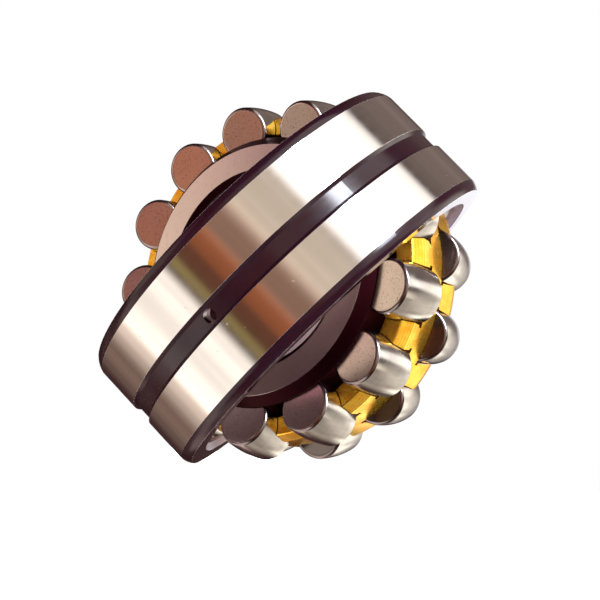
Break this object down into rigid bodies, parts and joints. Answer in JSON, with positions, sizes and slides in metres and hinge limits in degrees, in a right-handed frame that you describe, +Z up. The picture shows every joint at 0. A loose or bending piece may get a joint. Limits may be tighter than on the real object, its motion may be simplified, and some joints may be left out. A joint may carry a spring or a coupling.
{
  "type": "spherical roller bearing",
  "caption": "Self-aligning double-row spherical roller bearing with a machined brass cage, shown with its outer ring swivelled open.",
  "frame": {"origin": "centre of the bearing: the point on the bore axis midway between the side faces, which is also the centre of the spherical outer raceway", "axes": "the bore axis lies along Y, row A of rollers faces -Y; +Z is up; the outer ring is swivelled 66.7 degrees about the horizontal-to-vertical diagonal (1, 0, 1)"},
  "size_m": [0.1826, 0.1966, 0.1826],
  "materials": {
    "ring_steel": "ground, bright",
    "roller_steel": "polished barrel with satin ground ends",
    "guide_ring_steel": "turned",
    "cage_brass": "machined"
  },
  "bodies": {
    "outer_ring": {"outer_ring": "ring_steel"},
    "guide_ring": {"guide_ring": "guide_ring_steel"},
    "inner_ring": {"inner_ring": "ring_steel"},
    "cage": {"cage": "cage_brass"},
    "roller_a_01": {"roller_a_01": "roller_steel"},
    "roller_a_02": {"roller_a_02": "roller_steel"},
    "roller_a_03": {"roller_a_03": "roller_steel"},
    "roller_a_04": {"roller_a_04": "roller_steel"},
    "roller_a_05": {"roller_a_05": "roller_steel"},
    "roller_a_06": {"roller_a_06": "roller_steel"},
    "roller_a_07": {"roller_a_07": "roller_steel"},
    "roller_a_08": {"roller_a_08": "roller_steel"},
    "roller_a_09": {"roller_a_09": "roller_steel"},
    "roller_a_10": {"roller_a_10": "roller_steel"},
    "roller_a_11": {"roller_a_11": "roller_steel"},
    "roller_a_12": {"roller_a_12": "roller_steel"},
    "roller_a_13": {"roller_a_13": "roller_steel"},
    "roller_b_01": {"roller_b_01": "roller_steel"},
    "roller_b_02": {"roller_b_02": "roller_steel"},
    "roller_b_03": {"roller_b_03": "roller_steel"},
    "roller_b_04": {"roller_b_04": "roller_steel"},
    "roller_b_05": {"roller_b_05": "roller_steel"},
    "roller_b_06": {"roller_b_06": "roller_steel"},
    "roller_b_07": {"roller_b_07": "roller_steel"},
    "roller_b_08": {"roller_b_08": "roller_steel"},
    "roller_b_09": {"roller_b_09": "roller_steel"},
    "roller_b_10": {"roller_b_10": "roller_steel"},
    "roller_b_11": {"roller_b_11": "roller_steel"},
    "roller_b_12": {"roller_b_12": "roller_steel"},
    "roller_b_13": {"roller_b_13": "roller_steel"}
  },
  "joints": [
    {"name": "swivel", "type": "hinge", "parent": "outer_ring", "child": "guide_ring", "pos_m": [0, 0, 0], "axis": [-0.7071, 0, -0.7071], "range_deg": [-23.3, 66.7]},
    {"name": "inner_ring_spin", "type": "hinge", "parent": "guide_ring", "child": "inner_ring", "pos_m": [0, 0, 0], "axis": [0, -1, 0], "continuous": true},
    {"name": "cage_spin", "type": "hinge", "parent": "guide_ring", "child": "cage", "pos_m": [0, 0, 0], "axis": [0, -1, 0], "continuous": true},
    {"name": "roller_a_01_spin", "type": "hinge", "parent": "cage", "child": "roller_a_01", "pos_m": [0.07108, -0.01597, -0.00709], "axis": [-0.2171, -0.9759, 0.0217], "continuous": true},
    {"name": "roller_a_02_spin", "type": "hinge", "parent": "cage", "child": "roller_a_02", "pos_m": [0.06624, -0.01597, 0.02675], "axis": [-0.2023, -0.9759, -0.0817], "continuous": true},
    {"name": "roller_a_03_spin", "type": "hinge", "parent": "cage", "child": "roller_a_03", "pos_m": [0.04622, -0.01597, 0.05447], "axis": [-0.1411, -0.9759, -0.1663], "continuous": true},
    {"name": "roller_a_04_spin", "type": "hinge", "parent": "cage", "child": "roller_a_04", "pos_m": [0.01561, -0.01597, 0.06971], "axis": [-0.0477, -0.9759, -0.2129], "continuous": true},
    {"name": "roller_a_05_spin", "type": "hinge", "parent": "cage", "child": "roller_a_05", "pos_m": [-0.01857, -0.01597, 0.06898], "axis": [0.0567, -0.9759, -0.2106], "continuous": true},
    {"name": "roller_a_06_spin", "type": "hinge", "parent": "cage", "child": "roller_a_06", "pos_m": [-0.0485, -0.01597, 0.05245], "axis": [0.1481, -0.9759, -0.1602], "continuous": true},
    {"name": "roller_a_07_spin", "type": "hinge", "parent": "cage", "child": "roller_a_07", "pos_m": [-0.06732, -0.01597, 0.0239], "axis": [0.2056, -0.9759, -0.073], "continuous": true},
    {"name": "roller_a_08_spin", "type": "hinge", "parent": "cage", "child": "roller_a_08", "pos_m": [-0.07072, -0.01597, -0.01012], "axis": [0.2159, -0.9759, 0.0309], "continuous": true},
    {"name": "roller_a_09_spin", "type": "hinge", "parent": "cage", "child": "roller_a_09", "pos_m": [-0.05791, -0.01597, -0.04183], "axis": [0.1768, -0.9759, 0.1277], "continuous": true},
    {"name": "roller_a_10_spin", "type": "hinge", "parent": "cage", "child": "roller_a_10", "pos_m": [-0.03184, -0.01597, -0.06395], "axis": [0.0972, -0.9759, 0.1953], "continuous": true},
    {"name": "roller_a_11_spin", "type": "hinge", "parent": "cage", "child": "roller_a_11", "pos_m": [0.00153, -0.01597, -0.07142], "axis": [-0.0047, -0.9759, 0.2181], "continuous": true},
    {"name": "roller_a_12_spin", "type": "hinge", "parent": "cage", "child": "roller_a_12", "pos_m": [0.03454, -0.01597, -0.06253], "axis": [-0.1055, -0.9759, 0.1909], "continuous": true},
    {"name": "roller_a_13_spin", "type": "hinge", "parent": "cage", "child": "roller_a_13", "pos_m": [0.05964, -0.01597, -0.03932], "axis": [-0.1821, -0.9759, 0.1201], "continuous": true},
    {"name": "roller_b_01_spin", "type": "hinge", "parent": "cage", "child": "roller_b_01", "pos_m": [0.07039, 0.01597, 0.01222], "axis": [0.2149, -0.9759, 0.0373], "continuous": true},
    {"name": "roller_b_02_spin", "type": "hinge", "parent": "cage", "child": "roller_b_02", "pos_m": [0.05665, 0.01597, 0.04353], "axis": [0.173, -0.9759, 0.1329], "continuous": true},
    {"name": "roller_b_03_spin", "type": "hinge", "parent": "cage", "child": "roller_b_03", "pos_m": [0.02993, 0.01597, 0.06487], "axis": [0.0914, -0.9759, 0.1981], "continuous": true},
    {"name": "roller_b_04_spin", "type": "hinge", "parent": "cage", "child": "roller_b_04", "pos_m": [-0.00364, 0.01597, 0.07134], "axis": [-0.0111, -0.9759, 0.2179], "continuous": true},
    {"name": "roller_b_05_spin", "type": "hinge", "parent": "cage", "child": "roller_b_05", "pos_m": [-0.03638, 0.01597, 0.06148], "axis": [-0.1111, -0.9759, 0.1877], "continuous": true},
    {"name": "roller_b_06_spin", "type": "hinge", "parent": "cage", "child": "roller_b_06", "pos_m": [-0.06078, 0.01597, 0.03753], "axis": [-0.1856, -0.9759, 0.1146], "continuous": true},
    {"name": "roller_b_07_spin", "type": "hinge", "parent": "cage", "child": "roller_b_07", "pos_m": [-0.07126, 0.01597, 0.00498], "axis": [-0.2176, -0.9759, 0.0152], "continuous": true},
    {"name": "roller_b_08_spin", "type": "hinge", "parent": "cage", "child": "roller_b_08", "pos_m": [-0.06542, 0.01597, -0.02871], "axis": [-0.1998, -0.9759, -0.0877], "continuous": true},
    {"name": "roller_b_09_spin", "type": "hinge", "parent": "cage", "child": "roller_b_09", "pos_m": [-0.04458, 0.01597, -0.05582], "axis": [-0.1361, -0.9759, -0.1704], "continuous": true},
    {"name": "roller_b_10_spin", "type": "hinge", "parent": "cage", "child": "roller_b_10", "pos_m": [-0.01354, 0.01597, -0.07014], "axis": [-0.0413, -0.9759, -0.2142], "continuous": true},
    {"name": "roller_b_11_spin", "type": "hinge", "parent": "cage", "child": "roller_b_11", "pos_m": [0.02061, 0.01597, -0.0684], "axis": [0.0629, -0.9759, -0.2089], "continuous": true},
    {"name": "roller_b_12_spin", "type": "hinge", "parent": "cage", "child": "roller_b_12", "pos_m": [0.05004, 0.01597, -0.05099], "axis": [0.1528, -0.9759, -0.1557], "continuous": true},
    {"name": "roller_b_13_spin", "type": "hinge", "parent": "cage", "child": "roller_b_13", "pos_m": [0.068, 0.01597, -0.02189], "axis": [0.2076, -0.9759, -0.0669], "continuous": true}
  ],
  "couplings": [
    {"joint": "cage_spin", "follows": "inner_ring_spin", "ratio": 0.40984},
    {"joint": "roller_a_01_spin", "follows": "inner_ring_spin", "ratio": -2.618},
    {"joint": "roller_a_02_spin", "follows": "inner_ring_spin", "ratio": -2.618},
    {"joint": "roller_a_03_spin", "follows": "inner_ring_spin", "ratio": -2.618},
    {"joint": "roller_a_04_spin", "follows": "inner_ring_spin", "ratio": -2.618},
    {"joint": "roller_a_05_spin", "follows": "inner_ring_spin", "ratio": -2.618},
    {"joint": "roller_a_06_spin", "follows": "inner_ring_spin", "ratio": -2.618},
    {"joint": "roller_a_07_spin", "follows": "inner_ring_spin", "ratio": -2.618},
    {"joint": "roller_a_08_spin", "follows": "inner_ring_spin", "ratio": -2.618},
    {"joint": "roller_a_09_spin", "follows": "inner_ring_spin", "ratio": -2.618},
    {"joint": "roller_a_10_spin", "follows": "inner_ring_spin", "ratio": -2.618},
    {"joint": "roller_a_11_spin", "follows": "inner_ring_spin", "ratio": -2.618},
    {"joint": "roller_a_12_spin", "follows": "inner_ring_spin", "ratio": -2.618},
    {"joint": "roller_a_13_spin", "follows": "inner_ring_spin", "ratio": -2.618},
    {"joint": "roller_b_01_spin", "follows": "inner_ring_spin", "ratio": -2.618},
    {"joint": "roller_b_02_spin", "follows": "inner_ring_spin", "ratio": -2.618},
    {"joint": "roller_b_03_spin", "follows": "inner_ring_spin", "ratio": -2.618},
    {"joint": "roller_b_04_spin", "follows": "inner_ring_spin", "ratio": -2.618},
    {"joint": "roller_b_05_spin", "follows": "inner_ring_spin", "ratio": -2.618},
    {"joint": "roller_b_06_spin", "follows": "inner_ring_spin", "ratio": -2.618},
    {"joint": "roller_b_07_spin", "follows": "inner_ring_spin", "ratio": -2.618},
    {"joint": "roller_b_08_spin", "follows": "inner_ring_spin", "ratio": -2.618},
    {"joint": "roller_b_09_spin", "follows": "inner_ring_spin", "ratio": -2.618},
    {"joint": "roller_b_10_spin", "follows": "inner_ring_spin", "ratio": -2.618},
    {"joint": "roller_b_11_spin", "follows": "inner_ring_spin", "ratio": -2.618},
    {"joint": "roller_b_12_spin", "follows": "inner_ring_spin", "ratio": -2.618},
    {"joint": "roller_b_13_spin", "follows": "inner_ring_spin", "ratio": -2.618}
  ]
}
